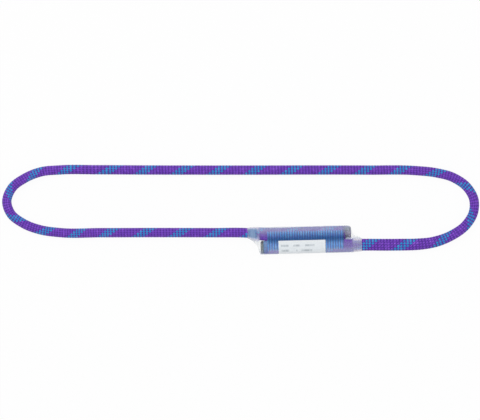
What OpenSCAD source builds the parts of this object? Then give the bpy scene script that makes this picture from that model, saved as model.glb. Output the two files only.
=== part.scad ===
// A short closed loop of dynamic climbing rope.
// The two ends of one length of rope lie side by side, are sewn together with thread,
// and are covered by a clear sleeve that is shrunk over them.
// Millimetres. The loop lies flat on z = 0, +X runs along it, and the origin is in the middle of its
// outline.

/* [Loop] */
// Length of the loop from end to end
loop_l = 429.1; // [420:0.1:1200]

/* [Rope] */
// Diameter of the rope
rope_d = 8.3; // [7.6:0.1:8.8]
// Thickness of the braided sheath
sheath_wall = 0.88; // [0.7:0.02:1]
// Clearance between the core strands, and from them to the sheath
core_gap = 0.09; // [0.08:0.01:0.12]
// Diameter of the marker yarn in the core
marker_d = 0.5; // [0.3:0.05:0.55]
// Width of the rope where it leaves the sleeve on the left
left_mouth_w = 8.6; // [8.4:0.1:9.4]
// Width of the rope where it leaves the sleeve on the right, still pressed flat
right_mouth_w = 10.5; // [9.4:0.1:11]

/* [Splice] */
// Length over which the two ends lie side by side
overlap_l = 81.6; // [78:0.2:84]
// Width of each leg, pressed flat by the seam
leg_w = 11.6; // [11:0.1:12]
// Gap between the two legs
leg_gap = 0.1; // [0.06:0.02:0.4]
// Angle between the splice and the length of the loop
splice_tilt = 1.4; // [0.8:0.1:2]
// Length of the melted nylon at the lower leg's cut end
lower_seal_l = 2.6; // [1.6:0.1:3.6]
// Length of the melted nylon at the upper leg's cut end, where the heat reached further
upper_seal_l = 5.2; // [1.6:0.1:5.6]

/* [Seam] */
// Diameter of the sewing thread
thread_d = 1; // [0.7:0.05:1.2]
// How far the thread is pulled into the rope
thread_sink = 0.6; // [0.3:0.05:0.65]
// Number of passes of thread across the two legs
pass_count = 30; // [12:2:30]
// Distance of the seam's middle from the middle of the splice
seam_shift = -0.8; // [-1.6:0.1:0.2]
// Distance from one pass to the next
stitch_pitch = 2.29; // [1.8:0.01:2.4]
// Distance of the needle holes from the outer side of a leg
seam_inset = 2.55; // [1.95:0.05:4]

/* [Sleeve] */
// Thickness of the shrunk sleeve
sleeve_wall = 0.35; // [0.3:0.05:0.8]
// How far the sleeve reaches past the cut end of the lower leg
sleeve_left = 11.5; // [10:0.1:14]
// How far the sleeve reaches past the cut end of the upper leg
sleeve_right = 9.5; // [9:0.1:12]
// Clearance between the sleeve and what it covers
sleeve_fit = 0.08; // [0.05:0.01:0.2]

/* [Label] */
// Length of the label along the splice
label_l = 42.2; // [20:0.2:60]
// Width of the label, measured round the lower leg
label_w = 18; // [12:0.5:22]
// Thickness of the label
label_t = 0.15; // [0.1:0.01:0.25]
// Distance of the label's middle from the middle of the splice
label_shift = -3.6; // [-6:0.1:6]

/* [Hidden] */

sheath_sides = 12;
strand_sides = 6;
yarn_sides = 4;
thread_sides = 6;
sleeve_sides = 20;
rings_per_span = 2;

// The underside that the loop rests on is cut flat by a tenth of the rope's diameter.
floor_cut = 0.1 * rope_d;
// How far the thread stands above the rope that it is pulled into
thread_proud = thread_d - thread_sink;
// Room between the threads and the sleeve, which the label lies in
label_room = label_t + 2 * sleeve_fit;
leg_low = sleeve_wall + label_room + thread_proud;
mouth_low = sleeve_wall + 2 * sleeve_fit;
leg_v = (leg_w + leg_gap) / 2;
// Length of a pass, from needle hole to needle hole
seam_w = 2 * leg_w + leg_gap - 2 * seam_inset;
cut_u = overlap_l / 2;
// Where the sheath ends and the melted nylon starts, on the lower leg and on the upper leg
lower_sheath_u = -cut_u + lower_seal_l;
upper_sheath_u = cut_u - upper_seal_l;
left_end_u = -cut_u - sleeve_left;
right_end_u = cut_u + sleeve_right;

// Where the rope leaves the sleeve, across the splice, on its left and on its right
left_mouth_v = 7.5;
right_mouth_v = -5.6;
// The legs lie straight and level between these two places, and the sleeve starts to close past them.
settled_u = cut_u - 5;
// How far outside the sleeve the rope still keeps the shape that it has inside, and how much further across
// the splice it lies there on the left, where it leaves at a slant
mouth_run = 1.5;
left_slant = 0.2;

// The rope's path outside the sleeve, from its right end round to its left end, as
// [x, y, share of the flattening that is left].
path_points = [
    [130, -31.4, 1], [144, -31.3, 1], [158, -31, 0.9], [174, -29, 0.6], [190, -23, 0.25],
    [202.8, -13.8, 0.1], [209.6, -2.6, 0], [210.1, 9.4, 0], [204.2, 20.2, 0], [192, 29, 0],
    [176, 33.5, 0], [158, 35.4, 0], [115, 35.9, 0], [65, 36, 0], [15, 35.9, 0], [-35, 35.9, 0],
    [-85, 36, 0], [-130, 36.2, 0], [-162, 36.1, 0], [-180.5, 34.2, 0], [-194.8, 28.4, 0], [-206.3, 19.4, 0],
    [-210.7, 7.4, 0], [-207.2, -3.1, 0], [-196, -12, 0], [-180, -18, 0], [-163, -20.4, 0],
    [-125, -20.5, 0], [-75, -20.4, 0], [-25, -20.5, 0]
];

// The two bends and the splice keep their shapes in a longer loop, and the straight runs between them
// take up the rest.
path_xs = [for (p = path_points) p[0]];
path_l = max(path_xs) - min(path_xs);
function stretched(x) = x + sign(x) * (loop_l - rope_d - path_l) / 2;

// Middle of the splice, in the loop that the path's points are drawn for and in this one
drawn_splice = [58.7, -27];
splice_at = [stretched(drawn_splice[0]), drawn_splice[1]];

// Vectors
function unit(a) = a / norm(a);
function ease(t) = t * t * (3 - 2 * t);
function mix(a, b, t) = a + (b - a) * t;

// A point of the splice: u along it, v across it towards the upper leg, z above the floor
function splice_point(u, v, z) = [
    splice_at[0] + u * cos(splice_tilt) - v * sin(splice_tilt),
    splice_at[1] + u * sin(splice_tilt) + v * cos(splice_tilt),
    z
];

// A rope pressed to another width keeps the area of its section.
function pressed_h(width) = rope_d * rope_d / width;

// A row of the route is [x, y, width of the rope, height of its underside before the flat is cut].
function splice_row(u, v, width, low) = let (p = splice_point(u, v, 0)) [p[0], p[1], width, low];
function free_row(p) = [stretched(p[0]), p[1], mix(rope_d, right_mouth_w, p[2]), -floor_cut];

route = concat(
    [for (u = [lower_sheath_u, 0, settled_u]) splice_row(u, -leg_v, leg_w, leg_low)],
    [splice_row(right_end_u + mouth_run, right_mouth_v, right_mouth_w, mouth_low)],
    [for (p = path_points) free_row(p)],
    [splice_row(left_end_u - mouth_run, left_mouth_v + left_slant, left_mouth_w, mouth_low)],
    [for (u = [-settled_u, 0, upper_sheath_u]) splice_row(u, leg_v, leg_w, leg_low)]
);

// Direction of the route at row i, from the rows before and after it, weighted by their distances
function place(i) = [route[i][0], route[i][1]];
function span(i) = norm(place(i + 1) - place(i));
function heading(i) =
    i == 0 ? unit(place(1) - place(0)) :
    i == len(route) - 1 ? unit(place(i) - place(i - 1)) :
    let (before = span(i - 1), after = span(i))
    ((place(i) - place(i - 1)) * after / before + (place(i + 1) - place(i)) * before / after)
    / (before + after);

// The smooth curve between rows i and i + 1, at t from 0 to 1, and its direction
function curve(i, t) =
    let (long = span(i))
    (2 * t * t * t - 3 * t * t + 1) * place(i) + (t * t * t - 2 * t * t + t) * long * heading(i)
    + (3 * t * t - 2 * t * t * t) * place(i + 1) + (t * t * t - t * t) * long * heading(i + 1);
function curve_way(i, t) =
    let (long = span(i))
    unit((6 * t * t - 6 * t) * (place(i) - place(i + 1)) + (3 * t * t - 4 * t + 1) * long * heading(i)
    + (3 * t * t - 2 * t) * long * heading(i + 1));

// A station is [place, way across, width, height, height of the middle].
function station(i, t) =
    let (way = curve_way(i, t),
         width = mix(route[i][2], route[i + 1][2], ease(t)),
         low = mix(route[i][3], route[i + 1][3], ease(t)),
         high = pressed_h(width))
    [curve(i, t), [-way[1], way[0]], width, high, low + high / 2];
stations = concat(
    [for (i = [0:len(route) - 2], j = [0:rings_per_span - 1]) station(i, j / rings_per_span)],
    [station(len(route) - 2, 1)]
);

// A polygon whose sides touch a circle of radius 1, with a side facing each way across it
function polygon_round(sides) = [
    for (k = [0:sides - 1])
        let (turn = 360 * (k + 0.5) / sides)
        [cos(turn), sin(turn)] / cos(180 / sides)
];

// An outline in a round rope's section, where the rope's own radius is 1. It is pressed flat with the rope.
function round_outline(at, radius, sides) = [for (p = polygon_round(sides)) at + p * radius / (rope_d / 2)];
function ring(s, outline, floor_z) = [
    for (p = outline) [
        s[0][0] + s[1][0] * p[0] * s[2] / 2,
        s[0][1] + s[1][1] * p[0] * s[2] / 2,
        max(s[4] + p[1] * s[3] / 2, floor_z)
    ]
];
function rings(outline, floor_z) = [for (s = stations) ring(s, outline, floor_z)];

// A solid through rings that have the same number of corners
module loft(rows) {
    n = len(rows[0]);
    last = len(rows) - 1;
    side = [
        for (i = [0:last - 1], k = [0:n - 1])
            let (a = i * n + k, b = i * n + (k + 1) % n)
            each [[a, a + n, b + n], [a, b + n, b]]
    ];
    near = [for (k = [0:n - 1]) k];
    far = [for (k = [n - 1:-1:0]) last * n + k];
    polyhedron([for (row = rows) each row], concat(side, [near, far]));
}

// A wall between two sets of rings. It closes round into a tube, or stays open as a curved sheet.
module wall(outer, inner, round) {
    n = len(outer[0]);
    last = len(outer) - 1;
    cols = round ? n - 1 : n - 2;
    skip = len(outer) * n;
    sides = [
        for (i = [0:last - 1], k = [0:cols])
            let (a = i * n + k, b = i * n + (k + 1) % n)
            each [
                [a, a + n, b + n], [a, b + n, b],
                [skip + a, skip + b, skip + b + n], [skip + a, skip + b + n, skip + a + n]
            ]
    ];
    ends = [
        for (k = [0:cols])
            let (a = k, b = (k + 1) % n, c = last * n + k, d = last * n + (k + 1) % n)
            each [
                [a, b, skip + b], [a, skip + b, skip + a],
                [c, skip + d, d], [c, skip + c, skip + d]
            ]
    ];
    edges = [
        for (i = [0:last - 1])
            let (a = i * n, b = i * n + n - 1)
            each [
                [a, skip + a + n, a + n], [a, skip + a, skip + a + n],
                [b, b + n, skip + b + n], [b, skip + b + n, skip + b]
            ]
    ];
    polyhedron(
        concat([for (row = outer) each row], [for (row = inner) each row]),
        concat(sides, ends, round ? [] : edges)
    );
}

// Sheath: a tube along the whole route, with the flat that it rests on
sheath_outer = round_outline([0, 0], rope_d / 2, sheath_sides);
sheath_bore_r = rope_d / 2 - sheath_wall;
sheath_inner = round_outline([0, 0], sheath_bore_r, sheath_sides);
// How far the corners of the section of a rope of this width stand out past its sides
function corner_room(width) = width / 2 * (1 / cos(180 / sheath_sides) - 1);

module rope_sheath() {
    reach = 3 * rope_d;
    size = [
        max([for (s = stations) abs(s[0][0])]) + reach,
        max([for (s = stations) abs(s[0][1])]) + reach
    ];
    color([0.43, 0.25, 0.68])
        difference() {
            wall(rings(sheath_outer, -rope_d), rings(sheath_inner, sheath_wall), true);
            translate([-size[0], -size[1], -rope_d])
                cube([2 * size[0], 2 * size[1], rope_d]);
        }
}

// Core: seven strands, which press each other to six sides, one in the middle and six round it
bore_clear_r = sheath_bore_r - core_gap;
// Half the distance across the flats of a strand, from the corners that come nearest to the sheath
strand_half = (bore_clear_r - core_gap) / norm([3, tan(30)]);
strand_step = 2 * strand_half + core_gap;
core_floor = sheath_wall + 2 * core_gap;

function strand_at(number) =
    number == 1 ? [0, 0] :
    let (turn = 60 * (number - 2)) strand_step / (rope_d / 2) * [cos(turn), sin(turn)];

module core_strand(number) {
    color([0.93, 0.93, 0.9])
        loft(rings(round_outline(strand_at(number), strand_half, strand_sides), core_floor));
}

// Marker yarn: lies in the groove between the two uppermost strands
marker_at = [0, (bore_clear_r - marker_d / 2) / (rope_d / 2)];

module marker_yarn() {
    color([0.85, 0.2, 0.2])
        loft(rings(round_outline(marker_at, marker_d / 2, yarn_sides), core_floor));
}

// Melted ends: each is a plug of fused nylon on the rope's cut face, with a rounded rim.
// Its rows are [share of its length, share of the rope's section].
seal_rows = [[0, 1], [0.5, 1], [0.85, 0.92], [1, 0.78]];

module melted_end(side, start_u, long) {
    mid_z = leg_low + pressed_h(leg_w) / 2;
    color([0.3, 0.28, 0.33])
        loft([
            for (row = seal_rows) [
                for (p = sheath_outer)
                    splice_point(
                        start_u + side * row[0] * long,
                        side * (leg_v + p[0] * row[1] * leg_w / 2),
                        mid_z + p[1] * row[1] * pressed_h(leg_w) / 2
                    )
            ]
        ]);
}

// Seam: one thread on the upper face and one on the lower face. Each runs to and fro across both legs,
// and turns inside a leg where the two threads lock.
leg_mid_z = leg_low + pressed_h(leg_w) / 2;
seam_start_u = seam_shift - stitch_pitch * (pass_count - 1) / 2;
// Height of a turn's middle above the leg's middle, which keeps the two threads a little apart, and the dip
// between the two legs
lock_room = 0.1;
lock_z = thread_d / 2 + lock_room;
valley_dip = 0.7;

// Height of the thread's middle above the leg's middle, at v across the splice
function over_leg(v) =
    let (off = abs(v) - leg_v)
    off > 0
        ? pressed_h(leg_w) / 2 * sqrt(1 - pow(off / (leg_w / 2), 2)) + thread_proud - thread_d / 2
        : pressed_h(leg_w) / 2 + thread_proud - thread_d / 2 - valley_dip * (1 - cos(180 * off / leg_v)) / 2;

// One pass from the lower leg to the upper leg, as [share of half the seam's width, height]
pass_shares = [-1, -0.95, -0.83, -0.65, -0.33, 0, 0.33, 0.65, 0.83, 0.95];
function pass_height(share) =
    abs(share) == 1 ? lock_z :
    abs(share) > 0.9 ? mix(lock_z, over_leg(share * seam_w / 2), 0.6) :
    over_leg(share * seam_w / 2);

function seam_points(face) = [
    for (pass = [0:pass_count - 1], share = pass_shares)
        let (way = pass % 2 == 0 ? 1 : -1,
             turn = share == -1 && pass > 0 ? 0.5 : 0)
        splice_point(
            seam_start_u + stitch_pitch * (pass - turn),
            way * share * seam_w / 2,
            leg_mid_z + face * pass_height(share)
        )
];

// Directions along a thread, and directions across it that never twist
function ways(points) =
    let (last = len(points) - 1)
    [for (i = [0:last])
        unit((i < last ? unit(points[i + 1] - points[i]) : [0, 0, 0])
            + (i > 0 ? unit(points[i] - points[i - 1]) : [0, 0, 0]))];
function flatten_to(a, way) = unit(a - (a * way) * way);
function thread_rings(points) =
    let (along = ways(points),
         start = flatten_to([cos(splice_tilt), sin(splice_tilt), 0], along[0]),
         last = len(points) - 1,
         across = [
             for (i = 0, s = start; i <= last; i = i + 1, s = i <= last ? flatten_to(s, along[i]) : s) s
         ])
    [for (i = [0:last])
        let (side = cross(along[i], across[i]))
        [for (k = [0:thread_sides - 1])
            let (turn = 360 * k / thread_sides)
            points[i] + thread_d / 2 * (cos(turn) * across[i] + sin(turn) * side)]];

// Least distance between two stretches of one thread, measured on its points
function self_gap(points) =
    let (last = len(points) - 1)
    min([for (i = [0:last - 4]) min([for (j = [i + 4:last]) norm(points[j] - points[i])])]) - thread_d;
echo(needle_thread_gap = self_gap(seam_points(1)), bobbin_thread_gap = self_gap(seam_points(-1)));

module seam_thread(face) {
    color([0.28, 0.42, 0.63])
        loft(thread_rings(seam_points(face)));
}

// Sleeve: a thin tube whose rings go round both legs, and at its ends round one rope alone.
// A row is [u, v of its upper arc, v of its lower arc, half width of an arc, height of the inside].
both_half = leg_w / 2 + corner_room(leg_w) + label_room;
both_top = leg_low + pressed_h(leg_w) + thread_proud + label_room;
left_top = mouth_low + pressed_h(left_mouth_w) + 2 * sleeve_fit;
right_top = mouth_low + pressed_h(right_mouth_w) + 2 * sleeve_fit;
function mouth_half(width) = width / 2 + corner_room(width) + 3 * sleeve_fit;
end_play = 0.5;
sleeve_rows = [
    [left_end_u, left_mouth_v, left_mouth_v, mouth_half(left_mouth_w), left_top],
    [
        mix(left_end_u, -cut_u, 0.4), mix(left_mouth_v, leg_v, 0.3), left_mouth_v * 0.75,
        mix(mouth_half(left_mouth_w), both_half, 0.5), mix(left_top, both_top, 0.3)
    ],
    [
        mix(left_end_u, -cut_u, 0.7), mix(left_mouth_v, leg_v, 0.6), leg_v * 0.26,
        mix(mouth_half(left_mouth_w), both_half, 0.85), mix(left_top, both_top, 0.6)
    ],
    [-cut_u - end_play, mix(left_mouth_v, leg_v, 0.8), -leg_v, both_half, both_top],
    [-settled_u, leg_v, -leg_v, both_half, both_top],
    [0, leg_v, -leg_v, both_half, both_top],
    [settled_u, leg_v, -leg_v, both_half, both_top],
    [cut_u - end_play, leg_v, -leg_v, both_half, both_top],
    [cut_u + end_play, leg_v * 0.75, -leg_v, both_half, both_top],
    [mix(right_end_u, cut_u, 0.8), -leg_v * 0.1, -leg_v, both_half, both_top],
    [
        mix(right_end_u, cut_u, 0.6), -leg_v * 0.45, mix(right_mouth_v, -leg_v, 0.5),
        mix(mouth_half(right_mouth_w), both_half, 0.6), both_top
    ],
    [
        mix(right_end_u, cut_u, 0.25), -leg_v * 0.7, mix(right_mouth_v, -leg_v, 0.2),
        mix(mouth_half(right_mouth_w), both_half, 0.2), mix(right_top, both_top, 0.5)
    ],
    [right_end_u, right_mouth_v, right_mouth_v, mouth_half(right_mouth_w), right_top]
];

function oblong(row, out) = [
    for (p = polygon_round(sleeve_sides))
        let (low = sleeve_wall - out, high = row[4] + out)
        splice_point(
            row[0],
            (p[0] > 0 ? row[1] : row[2]) + (row[3] + out) * p[0],
            (low + high) / 2 + (high - low) / 2 * p[1]
        )
];

module sleeve() {
    color([0.85, 0.9, 0.96, 0.45])
        wall(
            [for (row = sleeve_rows) oblong(row, sleeve_wall)],
            [for (row = sleeve_rows) oblong(row, 0)],
            true
        );
}

// Label: a film that lies flat between the two crests and then curves down round the lower leg
label_steps = 14;
label_base = thread_proud + sleeve_fit;
// Distance of the label's upper edge from the splice's middle line
label_top = 0.2;

// Place on the label's path, at a distance along it from the splice's middle line
function label_point(u, distance, out) =
    let (half_w = leg_w / 2 + corner_room(leg_w) + sleeve_fit + out,
         half_h = pressed_h(leg_w) / 2 + label_base + out,
         bend = max(0, distance - leg_v) / ((half_w + half_h) / 2) * 180 / PI)
    splice_point(
        u,
        -min(distance, leg_v) - half_w * sin(bend),
        leg_mid_z + half_h * cos(bend)
    );

function label_face(out) = [
    for (u = [label_shift - label_l / 2, label_shift + label_l / 2])
        [for (k = [0:label_steps]) label_point(u, label_top + label_w * k / label_steps, out)]
];

module label() {
    color([0.95, 0.96, 0.97])
        wall(label_face(label_t), label_face(0), false);
}

rope_sheath();
core_strand(1);  // core_strand_1
core_strand(2);  // core_strand_2
core_strand(3);  // core_strand_3
core_strand(4);  // core_strand_4
core_strand(5);  // core_strand_5
core_strand(6);  // core_strand_6
core_strand(7);  // core_strand_7
marker_yarn();
melted_end(-1, lower_sheath_u, lower_seal_l);  // melted_end_lower
melted_end(1, upper_sheath_u, upper_seal_l);  // melted_end_upper
seam_thread(1);  // needle_thread
seam_thread(-1);  // bobbin_thread
sleeve();
label();
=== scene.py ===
import math

import bpy
import numpy as np
from mathutils import Matrix, Vector, noise


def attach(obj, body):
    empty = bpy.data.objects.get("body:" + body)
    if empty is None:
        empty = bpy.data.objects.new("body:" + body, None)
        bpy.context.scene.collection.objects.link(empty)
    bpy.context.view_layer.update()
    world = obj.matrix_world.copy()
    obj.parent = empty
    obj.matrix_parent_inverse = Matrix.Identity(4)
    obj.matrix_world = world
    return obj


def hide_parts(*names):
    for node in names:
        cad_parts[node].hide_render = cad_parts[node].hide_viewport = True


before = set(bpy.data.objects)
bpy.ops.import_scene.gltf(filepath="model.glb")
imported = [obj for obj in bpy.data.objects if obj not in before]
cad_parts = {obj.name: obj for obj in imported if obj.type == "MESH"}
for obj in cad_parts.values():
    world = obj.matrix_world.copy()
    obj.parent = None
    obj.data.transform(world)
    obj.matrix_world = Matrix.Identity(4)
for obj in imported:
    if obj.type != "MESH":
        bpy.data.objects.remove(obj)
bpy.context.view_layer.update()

# Camera: straight above the loop, with a long lens, so that the loop lies flat in the picture and shows
# almost no perspective.
MM = 0.001
PICTURE_WIDE = 480
MM_PER_PIXEL = 0.902
CAMERA_HIGH = 3.0
PICTURE_MIDDLE = (-0.59 * MM, -0.05 * MM)
camera_data = bpy.data.cameras.new("camera")
camera_data.sensor_width = 36
camera_data.lens = camera_data.sensor_width * CAMERA_HIGH / (PICTURE_WIDE * MM_PER_PIXEL * MM)
camera_data.clip_start, camera_data.clip_end = 0.1, 20
camera = bpy.data.objects.new("camera", camera_data)
camera.location = (*PICTURE_MIDDLE, CAMERA_HIGH)
bpy.context.collection.objects.link(camera)
bpy.context.scene.camera = camera
bpy.context.scene.view_settings.view_transform = "Standard"


# Lights, floor and surroundings: one broad lamp behind the loop on the left, a weaker one in front of it on
# the right, and an even pale room. The floor is matt and shows white, and keeps a faint shadow of the loop.
FLOOR_SIZE = 12
FLOOR_LOW = 0.02 * MM
# How white the floor and the room look by themselves, and how strongly the room lights the loop
FLOOR_WHITE, ROOM_WHITE = 0.94, 1.0
ROOM_LIGHT = 0.62
# Each lamp's name, place, width in metres and power in watts
LAMPS = (
    ("key", (-0.9, 1.1, 1.7), 1.1, 17),
    ("fill", (1.3, -0.7, 1.5), 1.4, 6),
)


class Socket:
    """A node's output. Sums with it are written as sums, and add Math nodes."""

    def __init__(self, finish, output):
        self.finish, self.output = finish, output

    def math(self, operation, *values):
        return self.finish.node("ShaderNodeMath", {"operation": operation}, dict(enumerate(values)))

    def __add__(self, other):
        return self.math("ADD", self, other)

    def __sub__(self, other):
        return self.math("SUBTRACT", self, other)

    def __rsub__(self, other):
        return self.math("SUBTRACT", other, self)

    def __mul__(self, other):
        return self.math("MULTIPLY", self, other)

    def __abs__(self):
        return self.math("ABSOLUTE", self)

    __radd__, __rmul__ = __add__, __mul__


class Finish:
    """A material or world, made node by node. Sockets that stay the same all over are given at the start."""

    def __init__(self, name, group=bpy.data.materials, shader="Principled BSDF", **constants):
        self.material = group.new(name)
        self.material.use_nodes = True
        self.tree = self.material.node_tree
        self.shader = self.tree.nodes[shader]
        for socket, value in constants.items():
            self.shader.inputs[socket.replace("_", " ").title().replace("Ior", "IOR")].default_value = value

    def node(self, kind, settings, sockets, output=0):
        made = self.tree.nodes.new(kind)
        for name, value in settings.items():
            setattr(made, name, value)
        for name, value in sockets.items():
            self.link(value, made.inputs[name])
        return Socket(self, made.outputs[output])

    def link(self, value, socket):
        if isinstance(value, Socket):
            self.tree.links.new(value.output, socket)
        else:
            socket.default_value = value

    def set(self, name, value):
        self.link(value, self.shader.inputs[name])

    def mix(self, share, first, second):
        """A colour between two colours"""
        return self.node("ShaderNodeMix", {"data_type": "RGBA"}, {0: share, 6: first, 7: second}, 2)

    def parts(self, vector):
        """The first two numbers of a vector"""
        node = self.node("ShaderNodeSeparateXYZ", {}, {0: vector}).output.node
        return Socket(self, node.outputs[0]), Socket(self, node.outputs[1])

    def steps(self, value, low, high):
        """0 below low, 1 above high, and smooth between them"""
        return self.node(
            "ShaderNodeMapRange", {"interpolation_type": "SMOOTHSTEP"}, {0: value, 1: low, 2: high}
        )

    def bump(self, height, distance, strength):
        return self.node("ShaderNodeBump", {}, {"Strength": strength, "Distance": distance, "Height": height})


def show_white(finish, share):
    """Puts a plain white in front of a finish for rays that look at it, so that lamps and shadows keep
    the rest."""
    look = finish.tree.nodes.new("ShaderNodeLightPath")
    rays = ("Is Camera Ray", "Is Glossy Ray", "Is Transmission Ray")
    seen, mirrored, through = (Socket(finish, look.outputs[ray]) for ray in rays)
    white = finish.node("ShaderNodeEmission", {}, {})
    surface = Socket(finish, finish.shader.outputs[0])
    white_share = (seen + mirrored + through) * share
    both = finish.node("ShaderNodeMixShader", {}, {0: white_share, 1: surface, 2: white})
    end = next(node for node in finish.tree.nodes if node.bl_idname.startswith("ShaderNodeOutput"))
    finish.link(both, end.inputs["Surface"])


matt_floor = Finish("floor", base_color=(0.9, 0.9, 0.91, 1), roughness=0.9, specular_ior_level=0.1)
show_white(matt_floor, FLOOR_WHITE)
bpy.ops.object.select_all(action="DESELECT")
bpy.ops.mesh.primitive_plane_add(size=FLOOR_SIZE, location=(0, 0, -FLOOR_LOW))
floor = bpy.context.object
floor.name = "floor"
floor.data.materials.append(matt_floor.material)

room = Finish("room", bpy.data.worlds, "Background", color=(1, 1, 1, 1), strength=ROOM_LIGHT)
show_white(room, ROOM_WHITE)
bpy.context.scene.world = room.material

for name, place, size, power in LAMPS:
    lamp_data = bpy.data.lights.new(name, "AREA")
    lamp_data.size, lamp_data.energy = size, power
    lamp = bpy.data.objects.new(name, lamp_data)
    lamp.location = place
    lamp.rotation_euler = Vector(place).to_track_quat("Z", "Y").to_euler()
    bpy.context.collection.objects.link(lamp)


# Rope: one length of half rope, nearly a metre. It starts at the cut end of the lower leg, runs through the
# splice, round the loop and back, and ends at the cut end of the upper leg. The seam presses it flat, and it
# lies a little flat on its underside.
ROPE_D = 0.0083
SHEATH_WALL = 0.00088
# How far its flat underside cuts into the round rope, and the steps between two places of its path
FLOOR_CUT = 0.1 * ROPE_D
STEPS_A_SPAN = 60
# How far the highest yarns stand out from the sheath's inner side, so that this side stays as high above the
# floor, and how softly the round rope turns into its flat underside
BRAID_OUT = 0.00103
UNDERSIDE_SOFT = 0.00012
# The splice: its middle, its turn, how far the two legs overlap, the width of a pressed leg, the gap between
# the legs, the height of their undersides, and how far from the cut ends they start to lie side by side
SPLICE_AT = (0.0587, -0.027)
SPLICE_TILT = math.radians(1.4)
OVERLAP_L = 0.0816
LEG_W = 0.0116
LEG_GAP = 0.0001
LEG_LOW = 0.00106
SETTLE_L = 0.005
# How long the melted ends are
LOWER_SEAL_L = 0.0026
UPPER_SEAL_L = 0.0052
# The sleeve's mouths: how far past the cut ends they lie, how wide the rope is there, how high its underside
# lies, how far outside them it still is so, where they lie across the splice, and how far the rope slants
SLEEVE_LEFT = 0.0115
SLEEVE_RIGHT = 0.0095
LEFT_MOUTH_W = 0.0086
RIGHT_MOUTH_W = 0.0105
MOUTH_LOW = 0.00051
MOUTH_RUN = 0.0015
LEFT_MOUTH_V = 0.0075
LEFT_SLANT = 0.0002
RIGHT_MOUTH_V = -0.0056
# Places across the splice, v, and along it, u, from its middle
LEG_V = (LEG_W + LEG_GAP) / 2
CUT_U = OVERLAP_L / 2
LOWER_SHEATH_U = -CUT_U + LOWER_SEAL_L
UPPER_SHEATH_U = CUT_U - UPPER_SEAL_L
SETTLED_U = CUT_U - SETTLE_L
LEFT_END_U = -CUT_U - SLEEVE_LEFT
RIGHT_END_U = CUT_U + SLEEVE_RIGHT
# The path outside the sleeve: x, y, share of the flattening that is left
PATH = (
    (0.13, -0.0314, 1), (0.144, -0.0313, 1), (0.158, -0.031, 0.9), (0.174, -0.029, 0.6),
    (0.19, -0.023, 0.25), (0.2028, -0.0138, 0.1), (0.2096, -0.0026, 0), (0.2101, 0.0094, 0),
    (0.2042, 0.0202, 0), (0.192, 0.029, 0), (0.176, 0.0335, 0), (0.158, 0.0354, 0), (0.115, 0.0359, 0),
    (0.065, 0.036, 0), (0.015, 0.0359, 0), (-0.035, 0.0359, 0), (-0.085, 0.036, 0), (-0.13, 0.0362, 0),
    (-0.162, 0.0361, 0), (-0.1805, 0.0342, 0), (-0.1948, 0.0284, 0), (-0.2063, 0.0194, 0),
    (-0.2107, 0.0074, 0), (-0.2072, -0.0031, 0), (-0.196, -0.012, 0), (-0.18, -0.018, 0),
    (-0.163, -0.0204, 0), (-0.125, -0.0205, 0), (-0.075, -0.0204, 0), (-0.025, -0.0205, 0),
)  # fmt: skip


def splice_point(u, v, z):
    """u along the splice, v across it towards the upper leg"""
    c, s = math.cos(SPLICE_TILT), math.sin(SPLICE_TILT)
    return np.stack(np.broadcast_arrays(SPLICE_AT[0] + u * c - v * s, SPLICE_AT[1] + u * s + v * c, z), -1)


def splice_row(u, v, width, low):
    """A place of the rope in the splice, its width there and the height of its underside"""
    return (*splice_point(u, v, 0)[:2], width, low)


def ease(t):
    """Goes from 0 to 1 with t, slowly at both ends"""
    return t * t * (3 - 2 * t)


route = np.array(
    [splice_row(u, -LEG_V, LEG_W, LEG_LOW) for u in (LOWER_SHEATH_U, 0, SETTLED_U)]
    + [splice_row(RIGHT_END_U + MOUTH_RUN, RIGHT_MOUTH_V, RIGHT_MOUTH_W, MOUTH_LOW)]
    + [(x, y, ROPE_D + (RIGHT_MOUTH_W - ROPE_D) * flat, -FLOOR_CUT) for x, y, flat in PATH]
    + [splice_row(LEFT_END_U - MOUTH_RUN, LEFT_MOUTH_V + LEFT_SLANT, LEFT_MOUTH_W, MOUTH_LOW)]
    + [splice_row(u, LEG_V, LEG_W, LEG_LOW) for u in (-SETTLED_U, 0, UPPER_SHEATH_U)]
)
places = route[:, :2]
steps = np.diff(places, axis=0)
spans = np.linalg.norm(steps, axis=1)[:, None]
ways = steps / spans
inner_headings = (ways[:-1] * spans[1:] + ways[1:] * spans[:-1]) / (spans[:-1] + spans[1:])
headings = np.vstack([ways[:1], inner_headings, ways[-1:]])

rope_rows = []
for i in range(len(spans)):
    last = i == len(spans) - 1
    t = np.linspace(0, 1, STEPS_A_SPAN + last, endpoint=last)[:, None]
    place = (
        (2 * t**3 - 3 * t**2 + 1) * places[i] + (t**3 - 2 * t**2 + t) * spans[i] * headings[i]
        + (3 * t**2 - 2 * t**3) * places[i + 1] + (t**3 - t**2) * spans[i] * headings[i + 1]
    )  # fmt: skip
    rope_rows.append(np.hstack([place, route[i, 2:] + (route[i + 1, 2:] - route[i, 2:]) * ease(t)]))
rope_rows = np.vstack(rope_rows)
rope_way = np.gradient(rope_rows[:, :2], axis=0)
rope_way /= np.linalg.norm(rope_way, axis=1)[:, None]
rope_along = np.concatenate([[0], np.cumsum(np.linalg.norm(np.diff(rope_rows[:, :2], axis=0), axis=1))])
ROPE_L = rope_along[-1]
half_wide = rope_rows[:, 2] / 2
half_high = ROPE_D**2 / rope_rows[:, 2] / 2
rope_table = np.column_stack(
    [rope_rows[:, :2], -rope_way[:, 1], rope_way[:, 0], half_wide, half_high, rope_rows[:, 3] + half_high]
)


def rope_at(along):
    """The rope's middle, the way across it, half its width and half its height, at distances along it"""
    x, y, across_x, across_y, wide, high, mid = (np.interp(along, rope_along, c) for c in rope_table.T)
    flat = np.zeros_like(x)
    return np.stack([x, y, mid], 1), np.stack([across_x, across_y, flat], 1), wide, high


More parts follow.
